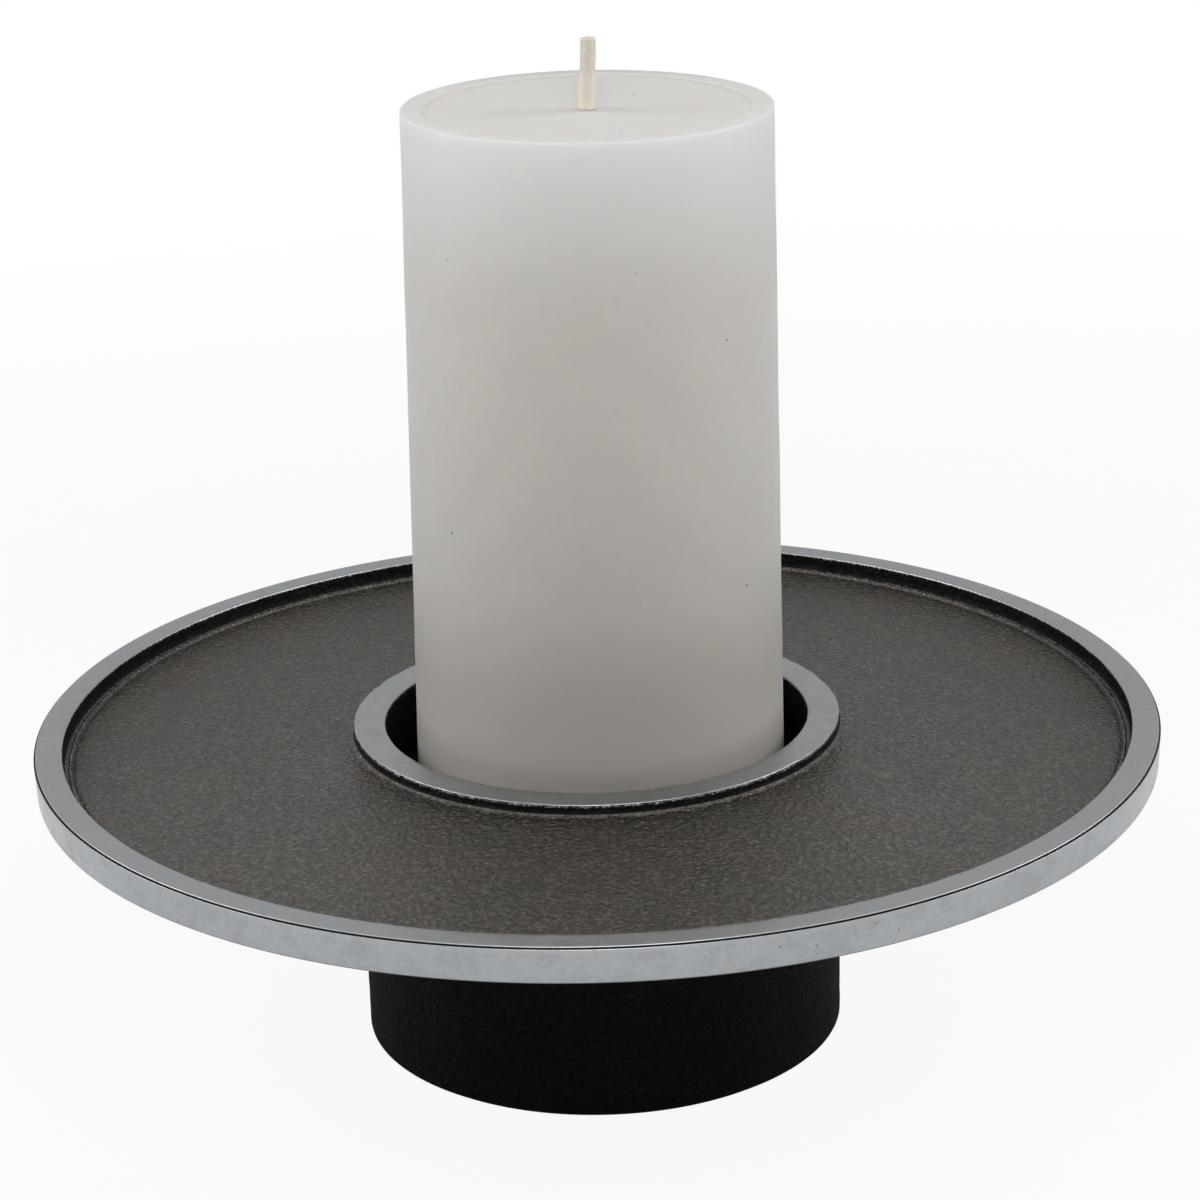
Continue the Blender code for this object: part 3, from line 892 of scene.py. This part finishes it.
wickLength = wickTop(candleSizes)
core = turnPiece("wickCore", coreRows(wickLength, wickSizes),
                 {"Steps": wickSizes["coreSteps"], "Lump Size": 0.004, "Lump Height": 0.00014,
                  "Grain Size": 0.0006, "Grain Height": 0.00005, "Seed": 2.0, **oneFinish(cottonMaterial)})
wick = growPiece("braidedWick", core.data, makeWickTree(),
                 {"Length": wickLength - wickSizes["sealed"], "Pitch": wickSizes["pitch"],
                  "Strands": wickSizes["strands"],
                  "Points": round(wickLength / wickSizes["pitch"] * wickSizes["pointsPerTurn"]),
                  "Braid Radius": wickSizes["braidRadius"], "Weave": wickSizes["weave"],
                  "Strand Radius": wickSizes["strandRadius"], "Sides": wickSizes["sides"],
                  "Tip Length": wickSizes["tipLength"], "Narrowing Length": wickSizes["narrowing"],
                  "Tip Narrowing": wickSizes["coreRadius"] - wickSizes["tipRadius"],
                  "Bend From": wickSizes["bendFrom"], "Bend": wickSizes["bend"], "Cotton": cottonMaterial})
bpy.data.objects.remove(core)
wick.data.transform(candleSeat)
dressNode(wick, "candle_wick", "candle")

# Stamped tin under the wick
tinSizes = {"beadRadius": 0.007, "beadHalf": 0.0008, "beadRise": 0.00012, "beadRows": 8,
            "neckFillet": 0.0005, "curl": 0.0001, "rowGap": 0.0008, "boreGap": 0.001, "steps": 120}


def stampBead(rows, sizes, side, level, skin):
    # the bead stands up on the top face and leaves its hollow in the face below; side -1 runs outward
    for step in range(1, sizes["beadRows"] + 1):
        share = step / sizes["beadRows"]
        lift = sizes["beadRise"] * math.sin(share * math.pi) ** 2
        rows.add(sizes["beadRadius"] + side * sizes["beadHalf"] * (1 - 2 * share), level + lift, skin)


def tinRows(sizes, candle):
    sheet = candle["tinSheet"]
    outer = candle["tinRadius"]
    neck = candle["neckRadius"]
    bore = neck - sheet
    top = candle["neckHeight"]
    rows = Profile()
    rows.add(bore, top, 1.0)
    rows.add(bore + sheet * 0.5, top + sizes["curl"] * 0.5, 0.5)
    rows.add(neck, top, 1.0)
    half, fillet, gap = sheet * 0.5, sizes["neckFillet"], sizes["rowGap"]
    rows.reach((neck, sheet + fillet), gap, 1.0)
    rows.corner((neck, sheet), fillet, 195, 270, 4, 0.4)
    rows.reach((sizes["beadRadius"] - sizes["beadHalf"], sheet), gap, 0.4)
    stampBead(rows, sizes, -1, sheet, 0.4)
    rows.reach((outer - half, sheet), gap, 0.4)
    rows.corner((outer, 0.0), half, 60, -90, 5, 0.3)
    rows.reach((sizes["beadRadius"] + sizes["beadHalf"], 0.0), gap, 0.0)
    stampBead(rows, sizes, 1, 0.0, 0.0)
    rows.reach((bore + fillet, 0.0), gap, 0.0)
    rows.corner((bore, 0.0), fillet, 255, 180, 3, 0.2)
    rows.reach((bore, top), sizes["boreGap"], 1.0)
    return rows


tin = turnPiece("stampedTin", tinRows(tinSizes, candleSizes),
                {"Steps": tinSizes["steps"], "Lump Size": 0.004, "Lump Height": 0.00012,
                 "Grain Size": 0.001, "Grain Height": 0.00003, "Seed": 6.0, **oneFinish(tinMaterial)})
tin.data.transform(candleSeat)
dressNode(tin, "wick_tin", "candle")
print("pieces dressed")

# Pale floor, white surroundings and soft lamps
studio = {"floorRadius": 9.0, "floor": (0.8, 0.8, 0.8), "floorRough": 0.9, "paperScale": 300.0,
          "paperTint": 1.02, "floorGlow": 0.93, "glowNear": 0.25, "glowFar": 0.9,
          "shadeNear": 0.1, "shadeFar": 0.22, "shade": 0.2, "ambient": 0.05, "backFrom": (-0.1, 0.6),
          "backShare": 0.61, "aim": (0.0, 0.0, 0.12),
          "lamps": [
              {"name": "overhead", "from": (0.0, 0.0, 0.75), "size": 0.6, "watts": 0.62},
              {"name": "leftPanel", "from": (-0.42, 0.05, 0.38), "size": 0.34, "watts": 1.04},
              {"name": "rightPanel", "from": (0.42, 0.05, 0.38), "size": 0.34, "watts": 1.03},
              {"name": "frontPanel", "from": (0.0, -0.34, 0.36), "size": 0.26, "watts": 0.66},
          ]}


def seenDirectly(tree):
    # 1 for camera, glossy and transmission rays, which see the white surroundings themselves
    rays = addNode(tree, "ShaderNodeLightPath").outputs
    either = calc(tree, "MAXIMUM", rays["Is Camera Ray"], rays["Is Glossy Ray"])
    return calc(tree, "MAXIMUM", either, rays["Is Transmission Ray"]), rays["Is Glossy Ray"]


def makeFloor(look):
    bpy.ops.mesh.primitive_circle_add(vertices=64, radius=look["floorRadius"], fill_type="NGON")
    floor = bpy.context.object
    floor.name = "paleFloor"
    material, tree, shader, place = startMaterial(
        "pale floor", {"Roughness": look["floorRough"], "Specular IOR Level": 0.0})
    seen, glossy = seenDirectly(tree)
    reach = vectorCalc(tree, "LENGTH", {0: place}, "Value")
    share = ease(tree, reach, look["glowNear"], look["glowFar"], look["floorGlow"], 1.0)
    # the table that the foot mirrors lies in the plate's own shade
    shaded = ease(tree, reach, look["shadeNear"], look["shadeFar"], 1.0 - look["shade"], 0.0)
    light = minus(tree, 1.0, times(tree, glossy, shaded))
    paper = noiseOf(tree, place, look["paperScale"], 3.0)
    lighter = tuple(value * look["paperTint"] for value in look["floor"])
    tint = mixColour(tree, paper, look["floor"], lighter)
    feed(tree, shader, {"Base Color": mixColour(tree, light, black, tint)})
    glow = firstOf(tree, "ShaderNodeEmission", {"Color": rgba(white), "Strength": light})
    mixed = firstOf(tree, "ShaderNodeMixShader",
                    {0: times(tree, seen, share), 1: shader.outputs[0], 2: glow})
    feed(tree, tree.nodes["Material Output"], {"Surface": mixed})
    floor.data.materials.append(material)


def makeWorld(look):
    world = bpy.data.worlds.new("studio")
    bpy.context.scene.world = world
    world.use_nodes = True
    tree = world.node_tree
    ambient = tree.nodes["Background"]
    feed(tree, ambient, {"Color": rgba(white), "Strength": look["ambient"]})
    seen, glossy = seenDirectly(tree)
    # polished faces see the wall behind the table in a softer white than the room in front of it
    way = addNode(tree, "ShaderNodeTexCoord").outputs["Generated"]
    behind = ease(tree, partsOf(tree, way)["Y"], *look["backFrom"])
    softer = times(tree, times(tree, behind, glossy), 1.0 - look["backShare"])
    bright = firstOf(tree, "ShaderNodeBackground",
                     {"Color": rgba(white), "Strength": minus(tree, 1.0, softer)})
    mixed = firstOf(tree, "ShaderNodeMixShader", {0: seen, 1: ambient.outputs[0], 2: bright})
    feed(tree, tree.nodes["World Output"], {"Surface": mixed})


def hangLamps(look):
    for lamp in look["lamps"]:
        data = bpy.data.lights.new(lamp["name"], "AREA")
        data.shape = "DISK"
        data.size = lamp["size"]
        data.energy = lamp["watts"]
        light = addObject(lamp["name"], data)
        light.location = lamp["from"]
        ahead = Vector(look["aim"]) - Vector(lamp["from"])
        light.rotation_euler = ahead.to_track_quat("-Z", "Y").to_euler()


makeFloor(studio)
makeWorld(studio)
hangLamps(studio)
bpy.context.scene.view_settings.view_transform = "Standard"
print("studio lit")
